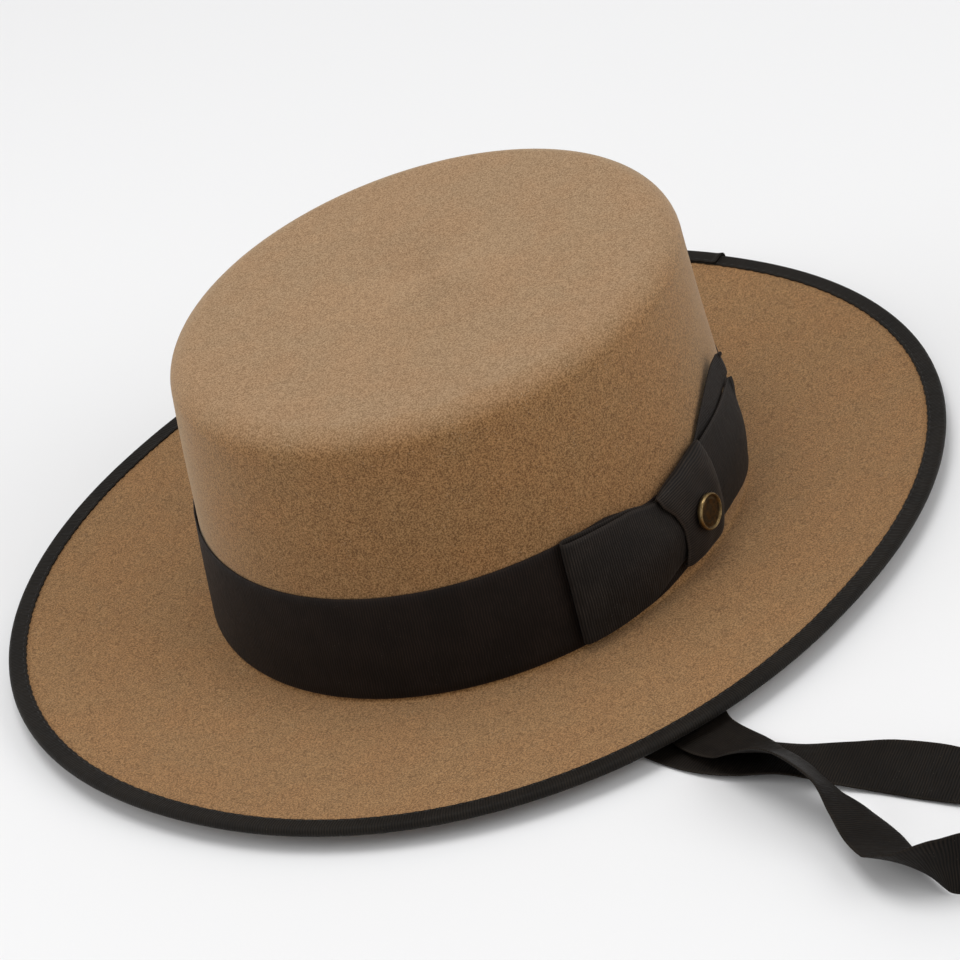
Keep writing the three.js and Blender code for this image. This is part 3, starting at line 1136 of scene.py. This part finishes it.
@dataclass(frozen=True)
class FeltBody:
    """The felt itself: crown and brim in one piece.

    The steps of each face are those over the brim, the fillet at the break, the wall, the shoulder and the
    flat top. The wall's sway is two waves round the crown, with their rise and their share of the swell.
    """

    top_rounding: float = 8.3 * MM
    fillet_below: float = 3.3 * MM
    segments: int = 288
    outer_steps: tuple[int, ...] = (24, 4, 28, 12, 14)
    inner_steps: tuple[int, ...] = (20, 8, 20, 8, 10)
    swell: float = 0.25 * MM
    swell_level: float = 50.0 * MM
    slow_wave: tuple[float, float] = (3.0, 26.0 * MM)
    quick_wave: tuple[float, float] = (7.0, 12.0 * MM)
    quick_share: float = 0.4
    shift_round: float = 0.7
    shift_up: float = 1.3

    def sway(self, angle: float, level: float) -> float:
        """Measures how far the wall's felt stands out or in where it was blocked unevenly.

        Args:
            angle: The way out from the axis, in radians from the front.
            level: The height above the floor.

        Returns:
            The distance, outwards from the even wall.
        """
        waves, rise = self.slow_wave
        slow = math.sin(waves * angle + self.shift_round) * math.sin(level / rise + self.shift_up)
        waves, rise = self.quick_wave
        quick = math.sin(waves * angle - level / rise) * self.quick_share
        return self.swell * (slow + quick) * hump(self.swell_level, self.swell_level, level)

    def profile(self, angle: float, face: Face) -> Profile:
        """Lists the profile of one face of the felt from the brim's edge to the middle of the top.

        Args:
            angle: The way out from the axis, in radians from the front.
            face: The face above the brim, or the one under it and in the crown.

        Returns:
            Pairs of the distance from the axis and the level.
        """
        outer = face is Face.TOP
        depth = 0.0 if outer else BRIM.felt
        foot = BRIM.break_top(angle) if outer else BRIM.break_underside(angle)
        fillet = BRIM.fillet_above if outer else self.fillet_below
        brim_steps, fillet_steps, wall_steps, shoulder_steps, top_steps = (
            self.outer_steps if outer else self.inner_steps
        )
        top_level, rounding = WALL.top_level - depth, self.top_rounding - depth
        shoulder = top_level - rounding
        root = WALL.radius(angle, WALL.foot_level, fillet if outer else BRIM.flat_to)
        radii = spread(BRIM.felt_edge(angle), root, brim_steps)
        turns = spread(0.0, QUARTER_TURN, fillet_steps)
        levels = spread(foot + fillet, shoulder, wall_steps)[:-1]
        if outer:
            radii.pop()
            turns.pop()
        else:
            levels.pop(0)
        stations = [
            (foot + fillet * (1.0 - math.cos(turn)), fillet * (1.0 - math.sin(turn))) for turn in turns
        ]
        stations += [(level, self.sway(angle, level)) for level in levels]
        stations += [
            (shoulder + rounding * math.sin(turn), rounding * (math.cos(turn) - 1.0))
            for turn in spread(0.0, QUARTER_TURN, shoulder_steps)
        ]
        rows = [(radius, BRIM.level(angle, radius, face)) for radius in radii]
        rows += [(WALL.radius(angle, level, offset - depth), level) for level, offset in stations]
        return rows + [(radius, top_level) for radius in spread(rows[-1][0], 0.0, top_steps)[1:]]

    def build(self, outer: Material, inner: Material) -> None:
        """Builds the felt as one closed shell.

        Args:
            outer: The finish of the brushed outer face.
            inner: The finish of the raw inner face.
        """
        rows = []
        for angle in around(self.segments):
            over, under = self.profile(angle, Face.TOP), self.profile(angle, Face.UNDERSIDE)
            rows.append([polar(radius, angle, level) for radius, level in over[::-1] + under])
        first, *rings, last = zip(*rows)
        looks = [0] * (len(over) - 1) + [1] * len(under)
        mesh = closed_mesh("felt", [first[:1], *rings, last[:1]], looks)
        new_piece(mesh, Slot.FELT, [outer, inner], "felt_body")


@dataclass(frozen=True)
class HatBand:
    """The ribbon round the crown's foot, whose two ends lap under the bow."""

    lift: float = 1.2 * MM
    height: float = 37.3 * MM
    offset: float = 0.5 * MM
    belly: float = 0.12 * MM
    lap_angle: float = 96.0
    lap: float = 5.0
    lap_from: float = 355.0
    lap_to: float = 359.0
    lap_rise: float = 0.65 * MM
    steps: int = 720
    columns: int = 12

    def place(self, along: float, share: float, height: float) -> Vector:
        """Finds a point of the band.

        Args:
            along: The share along the ribbon.
            share: The share across it from its lower edge.
            height: The height above its middle, towards the crown.

        Returns:
            The point.
        """
        turned = along * (360.0 + self.lap)
        angle = math.radians(self.lap_angle + turned)
        down, up = SEAT.pinch(angle)
        foot = BRIM.break_top(angle) + self.lift
        level = blend(foot + up, foot + self.height - down, share)
        rise = self.lap_rise * smooth_step(self.lap_from, self.lap_to, turned)
        belly = self.belly * math.sin(math.pi * share)
        return WALL.point(angle, level, self.offset + rise + belly - height)

    def build(self, ribbon: Material) -> None:
        """Builds the band of a ribbon."""
        RibbonStrip("band", self.place, self.height, self.steps, self.columns).lay(ribbon, "hat_band")


@dataclass(frozen=True)
class BrimBinding:
    """The ribbon folded over the brim's edge, sewn along its inner edges, with a lapped joint."""

    flange: float = 6.3 * MM
    width: float = 15.6 * MM
    thickness: float = 0.6 * MM
    clearance: float = 0.12 * MM
    edge_press: float = 0.6
    lap_angle: float = -177.2
    lap: float = 8.0
    lap_slope: float = 4.0
    lap_rise: float = 0.7 * MM
    end_curl: float = 0.45 * MM
    end_reach: float = 0.8
    stitch_pitch: float = 3.2 * MM
    stitch_start: float = 0.25
    stitch_length: float = 1.9 * MM
    stitch_reach: float = 6.4 / 7.5
    stitch_arch: float = 0.14 * MM
    stitch_sink: float = 0.1 * MM
    stitch_steps: int = 4
    thread: Thread = Thread(radius=0.16 * MM)
    pucker: float = 0.05 * MM
    pucker_middle: float = 0.75
    pucker_reach: float = 0.5
    edge_wander: float = 0.14 * MM
    wander_share: float = 0.6
    wander_waves: float = 900.0
    perimeter: float = 1.005
    steps: int = 1300
    columns: int = 22

    def point(self, along: float, reach: float, height: float) -> Vector:
        """Finds a point of the folded ribbon.

        Args:
            along: The share along the ribbon.
            reach: The place across it, -1 at the lower inner edge and 1 at the upper one.
            height: The height above the ribbon's middle, outwards from the fold.

        Returns:
            The point.
        """
        run, turned = along * self.perimeter, along * (360.0 + self.lap)
        angle = math.radians(self.lap_angle + turned)
        height += self.lap_rise * (1.0 - smooth_step(self.lap, self.lap + self.lap_slope, turned))
        height += self.end_curl * (1.0 - smooth_step(0.0, self.end_reach, turned))
        outside = BRIM.outline(angle)
        half = BRIM.edge_thickness / 2.0 + self.clearance + self.thickness / 2.0
        centre = outside - half - self.thickness / 2.0
        flat = self.flange - (outside - centre)
        flat_share = flat / (flat + QUARTER_TURN * half)
        near_edge = (abs(reach) - (1.0 - flat_share)) / flat_share
        if near_edge <= 0.0:
            turn = reach / (1.0 - flat_share) * QUARTER_TURN
            out, up = (half + height) * math.cos(turn), (half + height) * math.sin(turn)
            return polar(centre + out, angle, BRIM.edge_level + up)
        face = Face.TOP if reach > 0.0 else Face.UNDERSIDE
        wander = self.wander_share * math.sin(run * self.wander_waves)
        wander += math.sin(run * FULL_TURN / self.stitch_pitch)
        radius = centre - near_edge * (flat + self.edge_wander * wander * near_edge)
        sink = self.pucker * (1.0 + wander) * hump(self.pucker_middle, self.pucker_reach, near_edge)
        away = self.clearance * (1.0 - self.edge_press * near_edge) + self.thickness / 2.0 + height - sink
        return polar(radius, angle, BRIM.level(angle, radius, face) + face.value * away)

    def build(self, ribbon: Material, thread: Material) -> None:
        """Builds the binding and the stitches along both its inner edges.

        Args:
            ribbon: The ribbon's material.
            thread: The thread's material.
        """

        def place(along: float, share: float, height: float) -> Vector:
            """Finds a point of the binding from the share across it, which starts at the upper edge."""
            return self.point(along, 1.0 - 2.0 * share, height)

        strip = RibbonStrip("binding", place, self.width, self.steps, self.columns, self.thickness)
        strip.lay(ribbon, "brim_binding")
        points, faces = [], []
        for i in range(int(self.perimeter / self.stitch_pitch)):
            for side in (1.0, -1.0):
                line = [self.stitch_point(i, side, share) for share in spread(0.0, 1.0, self.stitch_steps)]
                self.thread.add(line, points, faces)
        new_piece(build_mesh("binding_stitches", points, faces), Slot.RIBBON, [thread])

    def stitch_point(self, number: int, side: float, share: float) -> Vector:
        """Finds a point of one stitch.

        Args:
            number: The stitch's number.
            side: 1 for the upper flange and -1 for the lower one.
            share: The share of the way along the stitch.

        Returns:
            The point.
        """
        middle = (number + self.stitch_start) * self.stitch_pitch
        run = middle + self.stitch_length * (share - 0.5)
        height = self.thickness / 2.0 - self.stitch_sink + self.stitch_arch * math.sin(math.pi * share)
        return self.point(run / self.perimeter, side * self.stitch_reach, height)


@dataclass(frozen=True)
class WingRow:
    """One row of a wing of the bow, in millimetres.

    The run goes along the band from the bow's middle, positive to the back. The offset is from the crown's
    wall, low and high are levels, and ridge is how far the wing's middle stands out beyond its edges.
    """

    run: float
    offset: float
    low: float
    high: float
    ridge: float = 0.0


@dataclass(frozen=True)
class KnotRow:
    """One row of the knot's ribbon from its lower end upwards, in millimetres."""

    level: float
    offset: float
    left: float
    right: float


@dataclass(frozen=True)
class SideBow:
    """The flat bow on the band: a loop to the front, two cut ends to the back, and the knot."""

    steps_per_row: int = 8
    columns: int = 18
    fullness: float = 1.25
    crease: float = 1.7
    over_lean: float = 6.0
    under_lean: float = -4.0
    tip_curl: float = 1.2
    tip_from: float = 0.95
    tip_corner: tuple[float, float] = (0.05, 0.3)
    tip_pull: float = 0.4
    slant: float = 5.4
    pleat: float = 0.2
    pleats: float = 5.0
    side_roll: float = 1.3
    side_sharpness: int = 5
    knot_width: float = 24.0 * MM
    knot_columns: int = 24
    loop: tuple[WingRow, ...] = (
        WingRow(-4.0, 1.5, 13.8, 38.2),
        WingRow(-16.0, 1.4, 12.4, 37.2),
        WingRow(-32.0, 1.3, 8.2, 41.6),
        WingRow(-48.0, 1.4, 7.4, 43.2),
        WingRow(-56.6, 1.6, 7.4, 43.8),
        WingRow(-57.9, 2.2, 7.4, 43.8),
        WingRow(-58.4, 3.1, 7.4, 43.8),
        WingRow(-57.8, 4.1, 7.4, 43.8),
        WingRow(-56.5, 4.5, 7.4, 43.8, 0.1),
        WingRow(-47.9, 4.1, 7.4, 43.2, 0.9),
        WingRow(-31.9, 3.1, 8.2, 41.6, 2.0),
        WingRow(-15.9, 2.3, 12.4, 37.2, 2.4),
        WingRow(-3.9, 2.5, 13.8, 38.2, 1.4),
    )
    tail_under: tuple[WingRow, ...] = (
        WingRow(3.0, 1.6, 24.0, 42.0),
        WingRow(10.0, 1.6, 27.5, 43.8, 0.2),
        WingRow(17.0, 1.7, 32.0, 48.0, 0.4),
        WingRow(28.0, 2.0, 39.5, 53.2, 0.6),
        WingRow(37.0, 2.7, 44.3, 56.2, 0.5),
        WingRow(43.5, 3.9, 46.3, 57.2, 0.3),
    )
    tail_over: tuple[WingRow, ...] = (
        WingRow(3.0, 3.0, 13.8, 42.4, 0.4),
        WingRow(12.0, 3.0, 13.6, 43.3, 1.0),
        WingRow(24.0, 3.4, 14.0, 44.2, 1.6),
        WingRow(36.0, 4.0, 15.2, 45.6, 1.7),
        WingRow(41.8, 4.0, 17.0, 45.4, 1.5),
    )
    knot: tuple[KnotRow, ...] = (
        KnotRow(10.5, 2.2, -15.0, 8.5),
        KnotRow(10.3, 3.2, -15.0, 8.5),
        KnotRow(11.0, 4.5, -15.0, 8.5),
        KnotRow(13.6, 5.4, -14.8, 9.0),
        KnotRow(18.0, 6.1, -13.8, 10.0),
        KnotRow(25.0, 6.4, -13.4, 10.5),
        KnotRow(32.0, 6.2, -15.2, 10.5),
        KnotRow(38.0, 5.7, -19.0, 9.5),
        KnotRow(41.0, 5.0, -19.6, 9.0),
        KnotRow(42.4, 4.0, -19.6, 9.0),
        KnotRow(42.6, 2.9, -19.6, 9.0),
        KnotRow(42.0, 2.0, -19.6, 9.0),
    )

    def wing(
        self, name: str, rows: Sequence[WingRow], node: str, ribbon: Material, lean: float = 0.0
    ) -> None:
        """Builds a loop or a cut end.

        Args:
            name: The piece's name.
            rows: Its table of rows.
            node: The part's node that it stands for.
            ribbon: Its material.
            lean: How much further the upper edge reaches than the lower one, for a cut end.
        """
        line = Route([Vector((row.run, row.offset, 0.0)) for row in rows])
        edges = Route([Vector((row.low, row.high, row.ridge)) for row in rows])
        curl = self.tip_curl if lean else 0.0

        def place(along: float, share: float, height: float) -> Vector:
            """Finds a point of the wing.

            Args:
                along: The share along the ribbon.
                share: The share across it from its upper edge.
                height: The height above its middle.

            Returns:
                The point.
            """
            run, offset, _ = line.at(along)
            ahead = line.direction(along)
            low, high, ridge = edges.at(along)
            bulge = ridge * (1.0 - abs(2.0 * share**self.fullness - 1.0) ** self.crease)
            tip = curl * smooth_step(self.tip_from, 1.0, along)
            tip *= 1.0 - smooth_step(*self.tip_corner, share)
            beside = Vector((-ahead.y, ahead.x)) * (height / MM)
            run += lean * along * (0.5 - share) - tip * self.tip_pull
            return SEAT.point(run + beside.x, blend(high, low, share), offset + bulge + tip + beside.y)

        steps = self.steps_per_row * (len(rows) - 1)
        RibbonStrip(name, place, (rows[0].high - rows[0].low) * MM, steps, self.columns).lay(ribbon, node)

    def wrap(self, ribbon: Material) -> None:
        """Builds the knot: a ribbon wrapped over the middle of the bow, rolled in at its sides.

        Args:
            ribbon: Its material.
        """
        line = Route([Vector((row.level, row.offset, 0.0)) for row in self.knot])
        edges = Route([Vector((row.left, row.right, 0.0)) for row in self.knot])

        def place(along: float, share: float, height: float) -> Vector:
            """Finds a point of the knot.

            Args:
                along: The share along the ribbon.
                share: The share across it from its left edge.
                height: The height above its middle.

            Returns:
                The point.
            """
            level, offset, _ = line.at(along)
            ahead = line.direction(along)
            left, right, _ = edges.at(along)
            roll = self.side_roll * abs(2.0 * share - 1.0) ** self.side_sharpness
            folds = self.pleat * math.cos(share * self.pleats * math.pi) * hump(0.5, 0.5, along)
            beside = Vector((-ahead.y, ahead.x)) * (height / MM - roll + folds)
            level += self.slant * along * (share - 0.5)
            return SEAT.point(blend(left, right, share), level + beside.x, offset + beside.y)

        steps = self.steps_per_row * (len(self.knot) - 1)
        RibbonStrip("knot", place, self.knot_width, steps, self.knot_columns).lay(ribbon, "bow_knot")

    def build(self, ribbon: Material, wrapped: Material) -> None:
        """Builds the bow's ribbons.

        Args:
            ribbon: The material of the loop and the cut ends.
            wrapped: The material of the knot.
        """
        self.wing("loop", self.loop, "bow_loop", ribbon)
        self.wing("tail_beneath", self.tail_under, "bow_tail_under", ribbon, self.under_lean)
        self.wing("tail_above", self.tail_over, "bow_tail_over", ribbon, self.over_lean)
        self.wrap(wrapped)


@dataclass(frozen=True)
class Stud:
    """The small bare stud on the knot: a rolled rim round a dished face.

    Its profile goes from the middle of the face over the rim to the back, in millimetres, and its first
    stretches are the face.
    """

    angle: float = 92.5
    level: float = 25.0 * MM
    offset: float = 7.1 * MM
    segments: int = 72
    face_stretches: int = 6
    profile: tuple[tuple[float, float], ...] = (
        (0.0, 1.44),
        (2.0, 1.38),
        (3.9, 1.26),
        (4.12, 1.32),
        (4.3, 1.22),
        (5.2, 1.18),
        (5.36, 1.3),
        (5.42, 1.6),
        (5.52, 1.85),
        (5.68, 1.92),
        (5.9, 1.8),
        (6.05, 1.5),
        (6.1, 1.0),
        (6.05, 0.45),
        (5.8, 0.1),
        (5.2, 0.0),
        (0.0, 0.0),
    )

    def build(self, rim: Material, face: Material) -> None:
        """Builds the stud, square to the crown's wall.

        Args:
            rim: The finish of the rolled rim and the back.
            face: The finish of the dished face.
        """
        angle = math.radians(self.angle)
        seat = WALL.point(angle, self.level, self.offset)
        away = (WALL.point(angle, self.level, self.offset + MM) - seat) / MM
        slope = (WALL.foot_half_width - WALL.top_half_width) / (WALL.top_level - WALL.foot_level)
        outward = Vector((away.x, away.y, slope)).normalized()
        side = outward.cross(Vector((0.0, 0.0, 1.0))).normalized()
        up = side.cross(outward)
        rings = []
        for radius, height in self.profile:
            count = self.segments if radius else 1
            rings.append(ring_points(seat + outward * height * MM, up, side, radius * MM, count))
        looks = [1] * self.face_stretches + [0] * (len(rings) - 1 - self.face_stretches)
        new_piece(closed_mesh("stud", rings, looks), Slot.BRASS, [rim, face], "bow_stud")


@dataclass(frozen=True)
class Lamp:
    """A round soft lamp that points at the hat."""

    name: str
    place: Vector
    power: float
    size: float
    target: Vector = Vector((0.0, 0.0, 0.05))

    def build(self) -> None:
        """Hangs the lamp."""
        data = bpy.data.lights.new(self.name, "AREA")
        data.shape = "DISK"
        data.size = self.size
        data.energy = self.power
        aim = (self.target - self.place).to_track_quat("-Z", "Y").to_matrix().to_4x4()
        add_object(self.name, data).matrix_world = Matrix.Translation(self.place) @ aim


@dataclass(frozen=True)
class Studio:
    """The pale floor and the soft light."""

    floor_size: float = 14.0
    floor_drop: float = 0.05 * MM
    floor_colour: Colour = (0.82, 0.82, 0.825, 1.0)
    floor_roughness: float = 0.7
    sky: float = 0.58
    lamps: tuple[Lamp, ...] = (
        Lamp("key", Vector((0.0, -0.15, 1.7)), 11.0, 1.0),
        Lamp("near fill", Vector((1.1, -1.1, 0.9)), 7.2, 1.2),
        Lamp("far fill", Vector((-0.3, 1.5, 1.0)), 8.7, 1.2),
    )

    def build(self) -> None:
        """Makes the floor, the sky and the lamps."""
        half = self.floor_size / 2.0
        signs = ((-1.0, -1.0), (1.0, -1.0), (1.0, 1.0), (-1.0, 1.0))
        corners = [Vector((x * half, y * half, -self.floor_drop)) for x, y in signs]
        mesh = build_mesh("floor", corners, [(0, 1, 2, 3)])
        pale = Surface("pale floor")
        mesh.materials.append(pale.finish(Base_Color=self.floor_colour, Roughness=self.floor_roughness))
        add_object("floor", mesh)
        world = bpy.data.worlds.new("sky")
        world.use_nodes = True
        background = world.node_tree.nodes["Background"]
        background.inputs["Color"].default_value = WHITE
        background.inputs["Strength"].default_value = self.sky
        bpy.context.scene.world = world
        for lamp in self.lamps:
            lamp.build()
        bpy.context.scene.view_settings.view_transform = "Standard"


FELT_OUTSIDE = FeltFinish(
    name="brushed felt",
    deep=(0.112, 0.0515, 0.0155, 1.0),
    raised=(0.362, 0.203, 0.086, 1.0),
    # paler colours of the flat top: painted light
    painted_light_deep=(0.185, 0.105, 0.047, 1.0),
    painted_light_raised=(0.38, 0.245, 0.137, 1.0),
)
FELT_INSIDE = FeltFinish(
    name="raw felt",
    deep=(0.12, 0.057, 0.02, 1.0),
    raised=(0.33, 0.19, 0.088, 1.0),
    painted_light_deep=(0.12, 0.057, 0.02, 1.0),
    painted_light_raised=(0.32, 0.185, 0.085, 1.0),
    sheen=0.2,
    relief=0.35 * MM,
)
BAND_RIBBON = RibbonFinish(
    name="band grosgrain",
    shade=(0.004, 0.0026, 0.002, 1.0),
    yarn=(0.0165, 0.0103, 0.0076, 1.0),
    width=37.3 * MM,
    gloss=0.13,
)
BOW_RIBBON = RibbonFinish(
    name="bow grosgrain",
    shade=(0.003, 0.0022, 0.0018, 1.0),
    yarn=(0.024, 0.0182, 0.0146, 1.0),
    width=30.0 * MM,
    relief=0.13 * MM,
)
# the knot's yarn is brighter than the bow's: partly the ribbon's own colour, partly painted highlight on
# the knot's ribs
KNOT_RIBBON = RibbonFinish(
    name="knot grosgrain",
    shade=(0.0035, 0.0025, 0.002, 1.0),
    yarn=(0.034, 0.0245, 0.0185, 1.0),
    width=24.0 * MM,
    pitch=0.92 * MM,
)
BINDING_RIBBON = RibbonFinish(
    name="binding grosgrain",
    shade=(0.004, 0.003, 0.0022, 1.0),
    yarn=(0.0155, 0.0118, 0.0085, 1.0),
    width=15.6 * MM,
    gloss=0.13,
)
STRAP_RIBBON = RibbonFinish(
    name="strap grosgrain",
    shade=(0.002, 0.0015, 0.0012, 1.0),
    yarn=(0.0165, 0.0122, 0.0088, 1.0),
    width=20.0 * MM,
    gloss=0.1,
    sheen=0.0,
)
STUD_RIM = BrassFinish(
    name="rubbed brass", bright=(0.36, 0.25, 0.115, 1.0), patina=(0.12, 0.075, 0.03, 1.0), share=0.8
)
STUD_FACE = BrassFinish(
    name="dark brass", bright=(0.09, 0.055, 0.022, 1.0), patina=(0.03, 0.02, 0.011, 1.0), share=0.9
)
SEWING_THREAD = ThreadFinish(
    name="dark thread", dark=(0.004, 0.0035, 0.003, 1.0), light=(0.016, 0.0135, 0.011, 1.0)
)


def main() -> None:
    """Builds the camera, the strap, the hat and the studio, and reports each piece."""
    logging.basicConfig(level=logging.INFO, format="%(message)s")
    Camera().build()
    effects = Effects(make_nap_group(), make_grosgrain_group(), make_wear_group())
    ChinStrap().build(STRAP_RIBBON.make(effects))
    FeltBody().build(FELT_OUTSIDE.make(effects), FELT_INSIDE.make(effects))
    HatBand().build(BAND_RIBBON.make(effects))
    BrimBinding().build(BINDING_RIBBON.make(effects), SEWING_THREAD.make(effects))
    SideBow().build(BOW_RIBBON.make(effects), KNOT_RIBBON.make(effects))
    Stud().build(STUD_RIM.make(effects), STUD_FACE.make(effects))
    Studio().build()
    for piece in bpy.data.objects:
        if piece.type == "MESH" and not piece.hide_render:
            LOG.info("%s: %d faces", piece.name, len(piece.data.polygons))


if __name__ == "__main__":
    main()
